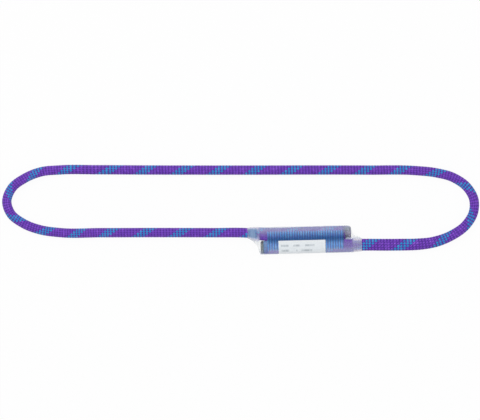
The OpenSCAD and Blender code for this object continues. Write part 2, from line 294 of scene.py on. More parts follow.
def settled(z):
    """Heights that leave room for the yarns above the floor, and how much of a change in z is left there"""
    above = (z - BRAID_OUT) / UNDERSIDE_SOFT
    return BRAID_OUT + UNDERSIDE_SOFT * np.logaddexp(0, above), 1 / (1 + np.exp(-above))


def on_sheath(along, turn, out):
    """Points of the sheath, a distance out from its inner side, and the ways out of the rope there.
    turn is the share of the way round, from the side across and up over the top."""
    middle, across, wide, high = rope_at(along)
    a, b = wide - SHEATH_WALL, high - SHEATH_WALL
    c, s = np.cos(2 * np.pi * turn), np.sin(2 * np.pi * turn)
    z, left = settled(middle[:, 2] + b * s)
    away = np.stack([b * c * left, a * s], 1)
    away /= np.linalg.norm(away, axis=1)[:, None]
    x = a * c + away[:, 0] * out
    points = np.column_stack([middle[:, :2] + across[:, :2] * x[:, None], z + away[:, 1] * out])
    return points, np.column_stack([across[:, :2] * away[:, :1], away[:, 1]])


def tube(centres, out, section):
    """Rings along a line. section holds pairs, aside and outwards, in metres, anticlockwise."""
    along = np.gradient(centres, axis=0)
    along /= np.linalg.norm(along, axis=1)[:, None]
    out = out - (out * along).sum(1)[:, None] * along
    out /= np.linalg.norm(out, axis=1)[:, None]
    aside = np.cross(along, out)
    section = np.broadcast_to(section, (len(centres), *np.shape(section)[-2:]))
    return centres[:, None] + aside[:, None] * section[..., :1] + out[:, None] * section[..., 1:]


def tubes_piece(name, tubes, finish):
    """One object of closed tubes. Each tube is its rings, the distance along it and a shade. The map "lay"
    holds the distance along, in metres, and the tube's number with the share of the way round."""
    points, faces, lay, shades = [], [], [], []
    start = 0
    for number, (rings, along, shade) in enumerate(tubes):
        n, k = rings.shape[:2]
        at = start + np.arange(n * k).reshape(n, k)
        nxt = np.roll(at, -1, axis=1)
        quads = np.stack([at[:-1], at[1:], nxt[1:], nxt[:-1]], -1).reshape(-1, 4)
        round_low = number + np.tile(np.arange(k) / k, n - 1)
        u_low, u_high = np.repeat(along[:-1], k), np.repeat(along[1:], k)
        u = np.stack([u_low, u_high, u_high, u_low], -1)
        v = np.stack([round_low, round_low, round_low + 1 / k, round_low + 1 / k], -1)
        lay.append(np.stack([u, v], -1).reshape(-1, 2))
        for cap, where in ((at[0], along[0]), (at[-1][::-1], along[-1])):
            faces.append(cap.tolist())
            lay.append(np.column_stack([np.full(k, where), number + np.arange(k) / k]))
        faces[-2:-2] = quads.tolist()
        points.append(rings.reshape(-1, 3))
        shades.append(np.broadcast_to(shade, (n, k)).ravel())
        start += n * k
    mesh = bpy.data.meshes.new(name)
    mesh.from_pydata(np.vstack(points).tolist(), [], faces)
    mesh.polygons.foreach_set("use_smooth", np.ones(len(faces), bool))
    mesh.uv_layers.new(name="lay").data.foreach_set("uv", np.vstack(lay).ravel())
    mesh.attributes.new("shade", "FLOAT", "POINT").data.foreach_set("value", np.concatenate(shades))
    mesh.materials.append(finish.material)
    piece = bpy.data.objects.new(name, mesh)
    bpy.context.collection.objects.link(piece)
    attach(piece, "root")
    return piece


# Braid: twelve carriers wind each way round the rope, over and under each other by turns. A carrier lays two
# plied nylon yarns side by side. Four neighbours that wind the same way are blue, and make the tracer,
# which comes to the top once in every turn of the braid.
CARRIERS = 12
RINGS_A_CROSSING = 3
# A carrier's two yarns: half their width and thickness, how far they rise and sink, how far their middle is
# from the sheath's inner side, how flat they run over and under, and how much wider the tracer's are
YARN_HALF_WIDE = 0.0008
YARN_HALF_THICK = 0.00026
YARN_RISE = 0.00028
YARN_MIDDLE = 0.00049
WAVE_FLAT = 1.35
TRACER_WIDER = 1.1
# Where the seam starts and ends along the splice, how high the yarns still rise below it, how far it presses
# them in, and how steeply that grows from a leg's sides and how late it starts there
SEAM_LOW_U, SEAM_HIGH_U = -0.0346, 0.033
PRESSED_RISE = 0.00016
PRESSED_IN = 0.00008
PRESS_SLOPE, PRESS_OFF = 2.5, 0.6
# Places along the rope where the tracer comes to the top, between the rope's two ends, and its turns there.
# The rope was twisted a little when it was bent, so that they lie closer together in the left-hand bend.
LAY_AT = (
    0, 0.0928, 0.1269, 0.1621, 0.226, 0.2564, 0.2884, 0.3202, 0.5176, 0.5496, 0.5883, 0.6189, 0.6466, 0.6735,
    0.7035, 0.7314, 0.7594, 0.8896, 0.9541, ROPE_L,
)  # fmt: skip
LAY_TURNS = 0.5 / CARRIERS + np.array(
    (-2.95, 0, 1, 2, 4, 5, 6, 7, 13, 14, 15, 16, 17, 18, 19, 20, 21, 25, 27, 27.6)
)  # fmt: skip
# A carrier's section, from its side over the two yarns' crests, in shares of its half width and thickness
YARN_SECTION = ((1, 0), (0.62, 1), (0, 0.5), (-0.62, 1), (-1, 0), (-0.6, -0.8), (0, -0.8), (0.6, -0.8))
# How light the yarns are there: less in the grooves, where the fibres shade each other
YARN_SHADES = (0.15, 1, 0.45, 1, 0.15, 0, 0, 0)
# How light they are painted inside the sleeve, where the film evens out the braid's small lights and shadows:
# there painted shade takes back the left-hand yarns' painted sheen, and the tracer has an even painted shade
TRACER_COVERED, LEFT_HAND_COVERED, RIGHT_HAND_COVERED = 0.65, 0.42, 1
# How far beside the melted ends the yarns are darkened, to the painted shade colour of their grooves
LOWER_DARKENED_RUN, UPPER_DARKENED_RUN = 0.0012, 0.002
# The filaments of a yarn: how often they change along it, round it, and round it with each metre along
FILAMENT_ALONG, FILAMENT_AROUND, FILAMENT_SLANT = 420, 46, 5200


def yarn_finish(name, *colours, sheen=0.25):
    """Plied nylon: fine filaments that lie nearly along the yarn, a slow change of tone, and a sheen.
    Its four colours are the painted shade of the grooves, then dark and plain filaments, and its lighter
    stretches."""
    deep, dark, plain, light = ((*colour, 1) for colour in colours)
    f = Finish(name, roughness=0.5, sheen_weight=sheen, sheen_roughness=0.4, specular_ior_level=0.35)
    along, around = f.parts(f.node("ShaderNodeUVMap", {"uv_map": "lay"}, {}))
    shade = f.node("ShaderNodeAttribute", {"attribute_name": "shade"}, {}, 2)
    across = around * FILAMENT_AROUND + along * FILAMENT_SLANT
    strands = f.node("ShaderNodeCombineXYZ", {}, {0: along * FILAMENT_ALONG, 1: across})
    filaments = f.node(
        "ShaderNodeTexNoise", {}, {"Vector": strands, "Scale": 1.0, "Detail": 2.0, "Roughness": 0.6}
    )
    place = f.node("ShaderNodeTexCoord", {}, {}, 3)
    tone = f.node("ShaderNodeTexNoise", {}, {"Vector": place, "Scale": 260.0, "Detail": 2.0})
    colour = f.mix(f.steps(filaments, 0.3, 0.75), dark, plain)
    colour = f.mix(f.steps(tone, 0.45, 0.85), colour, light)
    # Painted shade: where the shade attribute is low, the colour turns to the first colour, the grooves'
    # shade
    f.set("Base Color", f.mix(shade, deep, colour))
    f.set("Roughness", 0.42 + 0.3 * filaments)
    f.set("Normal", f.bump(filaments, 0.00006, 0.7))
    return f


# The yarns wound to the left are painted lighter than those wound to the right: they are lit and shaded
# copies of one purple, with a painted sheen on the left-hand yarns and painted shade on the right-hand ones,
# as if the lamp caught the filaments of one way more. This gives the braid fine dots
purple_painted_shade = yarn_finish(
    "purple_yarn_painted_shade", (0.044, 0.009, 0.17), (0.086, 0.017, 0.32), (0.145, 0.031, 0.51), (0.21, 0.052, 0.64)
)
# The lit copy of the purple, with the painted sheen
purple_painted_sheen = yarn_finish(
    "purple_yarn_painted_sheen", (0.085, 0.02, 0.3), (0.18, 0.042, 0.57), (0.305, 0.083, 0.85), (0.43, 0.145, 0.98)
)
blue = yarn_finish(
    "blue_yarn", (0.01, 0.115, 0.42), (0.012, 0.24, 0.68), (0.02, 0.41, 0.9), (0.06, 0.6, 0.98)
)
# Painted shade: the lining has no shade attribute, so it shows only its darkest colour, a dark purple that
# stands for the shade in the gaps between the carriers
lining = yarn_finish(
    "sheath_lining_painted_shade", (0.04, 0.012, 0.13), (0.04, 0.012, 0.13), (0.08, 0.025, 0.22), (0.1, 0.03, 0.26)
)

# The inner side of the braid, which the carriers' undersides make, painted dark as the shade between the
# carriers: how far apart its rings are, how many sides it has, and how far its two faces lie out from the
# sheath's inner side
LINING_STEP = 0.0015
LINING_SIDES = 24
LINING_OUTER, LINING_INNER = 0.00016, 0.00002
lining_along = np.append(np.arange(0, ROPE_L, LINING_STEP), ROPE_L)


def lining_face(out):
    """The rings of one face of the lining"""
    turns = [np.full(len(lining_along), side / LINING_SIDES) for side in range(LINING_SIDES)]
    return np.stack([on_sheath(lining_along, turn, out)[0] for turn in turns], 1)


def pipe_piece(name, outer, inner, along, finish):
    """A tube with a bore, from two sets of rings"""
    n, k = outer.shape[:2]
    at = np.arange(n * k).reshape(n, k)
    nxt, skip = np.roll(at, -1, axis=1), n * k
    sides = np.stack([at[:-1], nxt[:-1], nxt[1:], at[1:]], -1).reshape(-1, 4)
    walls = np.stack([at[:-1], at[1:], nxt[1:], nxt[:-1]], -1).reshape(-1, 4) + skip
    near = np.stack([at[0], at[0] + skip, nxt[0] + skip, nxt[0]], -1)
    far = np.stack([at[-1], nxt[-1], nxt[-1] + skip, at[-1] + skip], -1)
    mesh = bpy.data.meshes.new(name)
    faces = np.vstack([sides, walls, near, far])
    mesh.from_pydata(np.vstack([outer.reshape(-1, 3), inner.reshape(-1, 3)]).tolist(), [], faces.tolist())
    mesh.polygons.foreach_set("use_smooth", np.ones(len(faces), bool))
    u = np.tile(np.repeat(along, k), 2)[faces.ravel()]
    v = np.tile(np.tile(np.arange(k) / k, n), 2)[faces.ravel()]
    mesh.uv_layers.new(name="lay").data.foreach_set("uv", np.stack([u, v], -1).ravel())
    mesh.materials.append(finish.material)
    piece = bpy.data.objects.new(name, mesh)
    bpy.context.collection.objects.link(piece)
    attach(piece, "root")
    return piece


sheath = pipe_piece(
    "sheath_lining_painted_shade", lining_face(LINING_OUTER), lining_face(LINING_INNER), lining_along, lining
)
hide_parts("rope_sheath")

first_ring, last_ring = (round(2 * CARRIERS * turns * RINGS_A_CROSSING) for turns in LAY_TURNS[[0, -1]])
crossings = np.arange(first_ring, last_ring + 1) / RINGS_A_CROSSING
lay_turns = crossings / (2 * CARRIERS)
yarn_along = np.interp(lay_turns, LAY_TURNS, LAY_AT)
yarn_section = np.array(YARN_SECTION) * (YARN_HALF_WIDE, YARN_HALF_THICK)
lower_u = yarn_along + LOWER_SHEATH_U
upper_u = yarn_along - ROPE_L + UPPER_SHEATH_U
under_seam = ((lower_u > SEAM_LOW_U) & (lower_u < SEAM_HIGH_U)) | (upper_u > SEAM_LOW_U)
covered = (lower_u < RIGHT_END_U) | (upper_u > LEFT_END_U)
darkened_near_ends = (lower_u < LOWER_SHEATH_U + LOWER_DARKENED_RUN) | (upper_u > UPPER_SHEATH_U - UPPER_DARKENED_RUN)


def carrier(number, way, shade_covered, wider):
    """The rings of one carrier's yarns. way is 1 or -1, the way that it winds."""
    wave = way * np.clip(WAVE_FLAT * np.cos(np.pi * crossings), -1, 1)
    turn = way * lay_turns + number / CARRIERS
    pressed = under_seam * np.clip(PRESS_SLOPE * abs(np.sin(2 * np.pi * turn)) - PRESS_OFF, 0, 1)
    rise = YARN_RISE + (PRESSED_RISE - YARN_RISE) * pressed
    centres, out = on_sheath(yarn_along, turn, YARN_MIDDLE + rise * wave - PRESSED_IN * pressed)
    # Inside the sleeve the yarns get an even painted shade, and beside the melted ends the grooves' shade
    # colour
    shade = np.where(covered[:, None], shade_covered * ~darkened_near_ends[:, None], YARN_SHADES)
    return tube(centres, out, yarn_section * (wider, 1)), yarn_along, shade


for name, way, numbers, finish, shade, wider in (
    ("tracer_yarns", -1, (2, 3, 4, 5), blue, TRACER_COVERED, TRACER_WIDER),
    ("left_hand_yarns_1", -1, (6, 7, 8, 9), purple_painted_sheen, LEFT_HAND_COVERED, 1),
    ("left_hand_yarns_2", -1, (10, 11, 0, 1), purple_painted_sheen, LEFT_HAND_COVERED, 1),
    ("right_hand_yarns_1", 1, range(0, 4), purple_painted_shade, RIGHT_HAND_COVERED, 1),
    ("right_hand_yarns_2", 1, range(4, 8), purple_painted_shade, RIGHT_HAND_COVERED, 1),
    ("right_hand_yarns_3", 1, range(8, 12), purple_painted_shade, RIGHT_HAND_COVERED, 1),
):
    piece = tubes_piece(name, [carrier(number, way, shade, wider) for number in numbers], finish)


# Core: seven strands of white nylon, each twisted from three plies. One runs in the middle and six run round
# it, straight along the rope, and only the sheath holds them together.
STRAND_PLIES = 3
PLY_SIDES = 6
# A ply's radius, its middle's distance from the strand's, and how far along it goes once round
PLY_R = 0.00047
PLY_OFF = 0.00055
STRAND_LAY = 0.014
# How far the six lie from the middle one, and the height that the core keeps above the floor
STRAND_STEP = 0.002113
CORE_FLOOR = 0.00106


def in_core(along, x, y):
    """Points inside the rope, at x across and y up from its middle while it is round. They are pressed with
    the rope, and its flat underside pushes the lower ones up."""
    middle, across, wide, high = rope_at(along)
    under = np.minimum(1, (middle[:, 2] - CORE_FLOOR) / (high - SHEATH_WALL))
    up = y * high / (ROPE_D / 2) * np.where(y < 0, under, 1)
    return middle + across * (x * wide / (ROPE_D / 2))[:, None] + up[:, None] * (0, 0, 1)


def plies(at, count, off, radius, lay):
    """The rings of the plies of one strand, whose middle is at a place in the round rope"""
    tubes = []
    for ply in range(count):
        turn = 2 * np.pi * (lining_along / lay + ply / count)
        sides = 2 * np.pi * np.arange(PLY_SIDES) / PLY_SIDES
        x = at[0] + off * np.cos(turn)[:, None] + radius * np.cos(turn[:, None] + sides)
        y = at[1] + off * np.sin(turn)[:, None] + radius * np.sin(turn[:, None] + sides)
        rings = np.stack([in_core(lining_along, x[:, k], y[:, k]) for k in range(PLY_SIDES)], 1)
        tubes.append((rings[:, ::-1], lining_along, 1))
    return tubes


core_white = yarn_finish(
    "core_nylon", (0.4, 0.4, 0.38), (0.6, 0.6, 0.57), (0.82, 0.82, 0.79), (0.93, 0.93, 0.92)
)
for number in range(1, 8):
    turn = math.radians(60 * (number - 2))
    at = (0, 0) if number == 1 else (STRAND_STEP * math.cos(turn), STRAND_STEP * math.sin(turn))
    strand_plies = plies(at, STRAND_PLIES, PLY_OFF, PLY_R, STRAND_LAY)
    strand = tubes_piece(f"twisted_strand_{number}", strand_plies, core_white)
    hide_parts(f"core_strand_{number}")

# Marker yarn: a thin red yarn of two plies in the groove between the two uppermost strands. Its colour
# tells the year that the rope was made in.
MARKER_AT = (0, 0.00296)
MARKER_PLIES = 2
MARKER_PLY_R = 0.00012
MARKER_LAY = 0.004
marker_red = yarn_finish(
    "marker_nylon", (0.1, 0.01, 0.01), (0.25, 0.015, 0.015), (0.5, 0.03, 0.03), (0.65, 0.08, 0.07)
)
marker_plies = plies(MARKER_AT, MARKER_PLIES, MARKER_PLY_R, MARKER_PLY_R, MARKER_LAY)
marker = tubes_piece("twisted_marker_yarn", marker_plies, marker_red)
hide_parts("marker_yarn")

# Melted ends: each end of the rope was cut with a hot blade, which fused sheath and core into a glossy plug
# with a rounded rim. The lower one is short and nearly black. The upper one drew back further, and is lumpy
# and mottled.
LEG_HIGH = ROPE_D**2 / LEG_W
LEG_MID = LEG_LOW + LEG_HIGH / 2
# How far a plug reaches into the rope, its half width and half height there, its sides, the steps of its
# body, and how much each step widens it
SEAL_IN = 0.0002
SEAL_HALF_WIDE = 0.00572
SEAL_HALF_HIGH = 0.0029
SEAL_SIDES = 24
SEAL_BODY_STEPS = 4
SEAL_WIDENS = 1.006
# How far each extrusion of the rim goes, and how much narrower it leaves the plug
LOWER_RIM = ((0.0006, 0.99), (0.0005, 0.95), (0.00035, 0.87))
UPPER_RIM = ((0.0012, 0.975), (0.0009, 0.93), (0.0006, 0.82))
# How far in and how far out each step of the end face goes
SEAL_FACE = ((0.0006, 0.00008), (0.001, -0.0002))
# How high the lumps are on each end, how fine the lumps and the smaller dents are, how the two ends differ,
# the dents' share of the height, and how far from the sheath's edge both are full
LOWER_LUMPS, UPPER_LUMPS = 0.00012, 0.0002
LUMP_FINE, DENT_FINE = 700, 2200
LUMP_SHIFT = 5
DENT_SHARE = 0.4
LUMP_RUN = 0.0008


def melted_end(name, side, start_u, long, rim, lumps, dark, light, pale):
    """A plug on the cut end that faces side, 1 or -1, along the splice. Its colours are its dark glaze, its
    lighter blots and its pale specks, which on the upper end are partly painted glints of light on the glaze."""
    bpy.ops.object.select_all(action="DESELECT")
    bpy.ops.mesh.primitive_circle_add(vertices=SEAL_SIDES, radius=1, fill_type="NGON")
    piece = bpy.context.object
    piece.name = name
    bpy.ops.object.mode_set(mode="EDIT")
    bpy.ops.transform.resize(value=(SEAL_HALF_WIDE, SEAL_HALF_HIGH, 1))
    body_step = (long + SEAL_IN - sum(out for out, share in rim)) / SEAL_BODY_STEPS
    for out, share in SEAL_BODY_STEPS * ((body_step, SEAL_WIDENS),) + rim:
        bpy.ops.mesh.extrude_region_move(TRANSFORM_OT_translate={"value": (0, 0, out)})
        bpy.ops.transform.resize(value=(share, share, 1))
    for inset, out in SEAL_FACE:
        bpy.ops.mesh.inset(thickness=inset)
        bpy.ops.transform.translate(value=(0, 0, out))
    bpy.ops.mesh.select_all(action="SELECT")
    bpy.ops.mesh.normals_make_consistent(inside=False)
    bpy.ops.object.mode_set(mode="OBJECT")
    smoother = piece.modifiers.new("smoother", "SUBSURF")
    smoother.levels = smoother.render_levels = 3
    bpy.ops.object.modifier_apply(modifier="smoother")
    for vertex in piece.data.vertices:
        lump = noise.noise(vertex.co * LUMP_FINE + Vector((side * LUMP_SHIFT, 0, 0)))
        dent = noise.noise(vertex.co * DENT_FINE)
        free = min(1, max(0, vertex.co.z / LUMP_RUN))
        vertex.co += vertex.normal * (lumps * lump + DENT_SHARE * lumps * dent) * free
    turn = Matrix.Rotation(SPLICE_TILT, 4, "Z")
    place = Vector((*splice_point(start_u - side * SEAL_IN, side * LEG_V, LEG_MID),))
    axes = Matrix(((0, 0, side, 0), (side, 0, 0, 0), (0, 1, 0, 0), (0, 0, 0, 1)))
    piece.data.transform(Matrix.Translation(place) @ turn @ axes)
    bpy.ops.object.shade_smooth()
    f = Finish(name, roughness=0.25, specular_ior_level=0.6, coat_weight=0.5, coat_roughness=0.12)
    place = f.node("ShaderNodeTexCoord", {}, {}, 3)
    blots = f.node("ShaderNodeTexNoise", {}, {"Vector": place, "Scale": 420.0, "Detail": 3.0})
    specks = f.node("ShaderNodeTexNoise", {}, {"Vector": place, "Scale": 1500.0, "Detail": 2.0})
    colour = f.mix(f.steps(blots, 0.42, 0.6), dark, light)
    # Pale specks: partly real specks, and on the upper end partly painted glints on the lumpy glaze
    f.set("Base Color", f.mix(f.steps(specks + 0.4 * blots, 0.76, 0.9), colour, pale))
    f.set("Roughness", 0.15 + 0.35 * blots)
    f.set("Normal", f.bump(specks, 0.0001, 0.7))
    piece.data.materials.append(f.material)
    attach(piece, "root")
    return piece


lower_end = melted_end(
    "fused_end_lower", -1, LOWER_SHEATH_U, LOWER_SEAL_L, LOWER_RIM, LOWER_LUMPS,
    (0.005, 0.01, 0.013, 1), (0.018, 0.037, 0.04, 1), (0.09, 0.13, 0.125, 1),
)  # fmt: skip
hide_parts("melted_end_lower")
# Its pale specks are partly painted glints on the lumpy glaze
upper_end = melted_end(
    "fused_end_upper", 1, UPPER_SHEATH_U, UPPER_SEAL_L, UPPER_RIM, UPPER_LUMPS,
    (0.018, 0.03, 0.07, 1), (0.115, 0.09, 0.2, 1), (0.38, 0.35, 0.48, 1),
)  # fmt: skip
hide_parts("melted_end_upper")

tuple(on_sheath(np.zeros(1), np.zeros(1), 0)[0][0])

# Seam: thick blue bonded thread of three plies, one on top of the two legs and one below them. Each runs to
# and fro across both legs, and is pulled into the rope at each turn, where real ones lock. The seam is sewn
# twice, and the first run lies between the passes of the second, a little deeper.
THREAD_R = 0.00062
THREAD_PROUD = 0.0004
# How far along its plies go once round, and how deep the grooves between them are, in shares of the radius
THREAD_LAY = 0.0024
PLY_GROOVE = 0.13
# How far apart its rings are, their sides, and the steps of its smooth line between two places of a pass
THREAD_STEP = 0.00035
THREAD_SIDES = 12
CURVE_STEPS = 8
PASSES = 30
STITCH_PITCH = 0.00229
SEAM_W = 0.0188
SEAM_SHIFT = -0.0008
SEAM_V = -0.0004
# How far from the legs' middle a thread stops in the rope, the share of its height that it has next to that,
# and how far it sinks into the valley between the legs
LOCK_Z = 0.0006
DIVE_SHARE = 0.6
VALLEY_DIP = 0.0007
# The second run and the first: how much narrower it is, how far along in pitches, how much deeper, and how
# light it is painted; the first run, lying deeper, is painted darker, with painted shade
RUNS = ((0, 0, 0, 1), (0.001, 0.5, 0.00008, 0.24))
# Where across the splice the seam is darkest, how far to each side of that it is fully lit, and the share of
# its light that it loses in the middle
GLOOM_V = 0.0015
GLOOM_HALF = 0.0065
GLOOM_DEEP = 0.75
# Shares of half the seam's width, along one pass. Next to its ends the thread dives into the rope.
PASS_SHARES = (-1, -0.95, -0.83, -0.65, -0.33, 0, 0.33, 0.65, 0.83, 0.95)


def valley(v):
    """1 in the valley between the two legs, 0 from their crests outwards"""
    return math.sin(math.pi / 2 * min(0, abs(v) / LEG_V - 1)) ** 2


def over_leg(v):
    """The height of the thread's middle above the legs' middle, at v across the splice"""
    off = max(0, abs(v) - LEG_V)
    leg = LEG_HIGH / 2 * math.sqrt(max(0, 1 - (off / (LEG_W / 2)) ** 2))
    return leg + THREAD_PROUD - THREAD_R - VALLEY_DIP * valley(v)


def gloom(v):
    """1 where least light reaches the seam, 0 where it is fully lit"""
    return np.cos(np.pi / 2 * np.clip((v - GLOOM_V) / GLOOM_HALF, -1, 1)) ** 2


def seam_line(face, width, shift, deeper):
    """The middle of one run's thread, to and fro on the face that looks up, 1, or down, -1"""
    points = []
    for number in range(PASSES):
        way = 1 if number % 2 == 0 else -1
        for share in PASS_SHARES:
            u = SEAM_SHIFT + STITCH_PITCH * (number - (PASSES - 1) / 2 + shift)
            v = SEAM_V + way * share * width / 2
            height = over_leg(v) - deeper
            if share == PASS_SHARES[0]:
                u -= STITCH_PITCH / 2 if number else 0
                height = LOCK_Z
            elif abs(share) == PASS_SHARES[-1]:
                height = LOCK_Z + (height - LOCK_Z) * DIVE_SHARE
            points.append(splice_point(u, v, LEG_MID + face * height))
    return np.array(points)


def smooth_line(points, step):
    """Evenly spaced places on a smooth line through points, and how far along it they are"""
    knots = np.vstack([2 * points[0] - points[1], points, 2 * points[-1] - points[-2]])
    a, b, c, d = knots[:-3, None], knots[1:-2, None], knots[2:-1, None], knots[3:, None]
    t = np.linspace(0, 1, CURVE_STEPS, endpoint=False)[:, None]
    line = b + t / 2 * (c - a) + t**2 * (a - 2.5 * b + 2 * c - d / 2) + t**3 * (1.5 * (b - c) + (d - a) / 2)
    line = np.vstack([line.reshape(-1, 3), points[-1:]])
    far = np.concatenate([[0], np.cumsum(np.linalg.norm(np.diff(line, axis=0), axis=1))])
    along = np.linspace(0, far[-1], round(far[-1] / step))
    return np.stack([np.interp(along, far, line[:, axis]) for axis in range(3)], 1), along


def thread(points, shade):
    """The rings of a thread of three plies, which twist round its middle, darker in the seam's gloom"""
    centres, along = smooth_line(points, THREAD_STEP)
    way = np.gradient(centres, axis=0)
    way /= np.linalg.norm(way, axis=1)[:, None]
    out = np.empty_like(way)
    last = splice_point(1, 0, 0) - splice_point(0, 0, 0)
    for i, w in enumerate(way):
        last = last - w * (last @ w)
        out[i] = last = last / np.linalg.norm(last)
    lobes = np.arange(THREAD_SIDES) * np.pi / (THREAD_SIDES / 2)
    turn = lobes + 2 * np.pi * along[:, None] / THREAD_LAY
    radius = THREAD_R * (1 - PLY_GROOVE + PLY_GROOVE * np.cos(3 * lobes))
    section = np.stack([np.cos(turn), np.sin(turn)], -1) * radius[:, None]
    off_x, off_y = centres[:, 0] - SPLICE_AT[0], centres[:, 1] - SPLICE_AT[1]
    v = off_y * math.cos(SPLICE_TILT) - off_x * math.sin(SPLICE_TILT)
    return tube(centres, out, section), along, shade * (1 - GLOOM_DEEP * gloom(v))[:, None]


thread_blue = yarn_finish(
    "seam_thread", (0.005, 0.06, 0.25), (0.02, 0.26, 0.86), (0.04, 0.42, 1), (0.14, 0.62, 1), sheen=0.05
)
for name, node, face in (
    ("seam_needle_thread", "needle_thread", 1),
    ("seam_bobbin_thread", "bobbin_thread", -1),
):
    runs = [
        thread(seam_line(face, SEAM_W - narrower, shift, deeper), shade)
        for narrower, shift, deeper, shade in RUNS
    ]
    piece = tubes_piece(name, runs, thread_blue)
    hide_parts(node)

# Label: a white film with rows of faint grey marks. It lies on the seam from the valley over the lower leg
# and down its side, and the sleeve holds it there.
LABEL_L = 0.0422
LABEL_W = 0.018
LABEL_T = 0.00015
LABEL_STEPS_LONG, LABEL_STEPS_ROUND = 64, 40
# Where its middle lies along the splice and its upper edge across it, how clear it lies of the leg's side and
# of the seam, and how far it sinks into the valley
LABEL_SHIFT = -0.0036
LABEL_TOP = 0.0002
LABEL_FIT = 0.00016
LABEL_LIFT = 0.00006
FILM_DIP = 0.0005
# Rows of marks: distance from the label's upper edge, half their height, and their starts and ends, in mm
LABEL_MARKS = (
    (4.6, 0.9, ((1.7, 9.4), (12.9, 19.4), (23.4, 32.6))),
    (8.6, 0.9, ((2.2, 9.7), (15.6, 17.1), (20.0, 30.7))),
    (12.2, 0.5, ((16.4, 19.4),)),
)
# How soft their ends are, and their rows inside and outside, in mm, how often they fade in a mm along and
# across the label, and how dark they are
MARK_SOFT, ROW_SOFT_IN, ROW_SOFT_OUT = 0.8, 0.5, 0.4
FADES_ALONG, FADES_ACROSS = 0.7, 0.05
MARK_DARK = 0.6


def label_point(u, distance):
    """A place on the label's outer face, at a distance from the valley along its bend over the leg"""
    half_w = LEG_W / 2 + LABEL_FIT + LABEL_T
    half_h = LEG_HIGH / 2 + THREAD_PROUD + LABEL_T + LABEL_LIFT
    bend = max(0, distance - LEG_V) / ((half_w + half_h) / 2)
    v = -min(distance, LEG_V) - half_w * math.sin(bend)
    return splice_point(u, v, LEG_MID + half_h * math.cos(bend) - FILM_DIP * valley(v))


bpy.ops.object.select_all(action="DESELECT")
bpy.ops.mesh.primitive_grid_add(x_subdivisions=LABEL_STEPS_LONG, y_subdivisions=LABEL_STEPS_ROUND, size=1)
label = bpy.context.object
label.name = "printed_film"
for vertex in label.data.vertices:
    x, y = vertex.co.x, vertex.co.y
    vertex.co = label_point(LABEL_SHIFT + x * LABEL_L, LABEL_TOP + (0.5 - y) * LABEL_W)
film = label.modifiers.new("film", "SOLIDIFY")
film.thickness, film.offset = LABEL_T, -1
bpy.ops.object.modifier_apply(modifier="film")
bpy.ops.object.shade_smooth_by_angle(angle=math.radians(40))
label_film = Finish("label_film", roughness=0.45, specular_ior_level=0.4)
place = label_film.node("ShaderNodeUVMap", {"uv_map": "UVMap"}, {})
across, down = label_film.parts(place)
across, down = across * (LABEL_L / MM), (1 - down) * (LABEL_W / MM)
fading = label_film.node("ShaderNodeCombineXYZ", {}, {0: across * FADES_ALONG, 1: down * FADES_ACROSS})
faded = label_film.node("ShaderNodeTexNoise", {}, {"Vector": fading, "Scale": 1.0, "Detail": 1.0})
print_mask = 0
for row, half, marks in LABEL_MARKS:
    inside = 0
    for start, end in marks:
        started = label_film.steps(across, start, start + MARK_SOFT)
        ended = label_film.steps(across, end - MARK_SOFT, end)
        inside = started * (1 - ended) + inside
    band = 1 - label_film.steps(abs(down - row), half - ROW_SOFT_IN, half + ROW_SOFT_OUT)
    print_mask = band * inside + print_mask
print_mask = print_mask * (0.5 + 0.5 * label_film.steps(faded, 0.35, 0.6))
tone = label_film.node("ShaderNodeTexNoise", {}, {"Vector": place, "Scale": 9.0, "Detail": 3.0})
white_film = label_film.mix(tone, (0.8, 0.83, 0.86, 1), (0.9, 0.92, 0.93, 1))
label_film.set("Base Color", label_film.mix(print_mask * MARK_DARK, white_film, (0.2, 0.24, 0.28, 1)))
label_film.set("Roughness", 0.35 + 0.25 * tone)
label_film.set("Normal", label_film.bump(tone, 0.00005, 0.4))
label.data.materials.append(label_film.material)
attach(label, "root")
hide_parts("label")

# Sleeve: a milky clear plastic tube, slipped over the splice and shrunk with heat. It fits both legs closely,
# spans the valley between them, closes round the single rope past each cut end, and puckers there. It is
# clear where it is pressed onto the seam, and milky at its sides and round its mouths.
SLEEVE_WALL = 0.0003
SLEEVE_SIDES = 64
SLEEVE_STEP = 0.0004
# Steps along each of its two arcs and along the span between them, before its sides are spaced evenly
ARC_STEPS, SPAN_STEPS = 180, 40
# How clear its inside lies of the rope, and of the top of the seam, where the label goes between
SLEEVE_FIT = 0.00033
SLEEVE_LIFT = 0.00026
# Half the width and the height of its inside, over both legs and in the two mouths
BOTH_HALF = LEG_W / 2 + SLEEVE_FIT
BOTH_TOP = LEG_LOW + LEG_HIGH + THREAD_PROUD + SLEEVE_LIFT
LEFT_HALF, LEFT_TOP = LEFT_MOUTH_W / 2 + SLEEVE_FIT, MOUTH_LOW + ROPE_D**2 / LEFT_MOUTH_W + SLEEVE_FIT
RIGHT_HALF, RIGHT_TOP = RIGHT_MOUTH_W / 2 + SLEEVE_FIT, MOUTH_LOW + ROPE_D**2 / RIGHT_MOUTH_W + SLEEVE_FIT


def between(first, second, share):
    """A share of the way from the first to the second"""
    return first + (second - first) * share


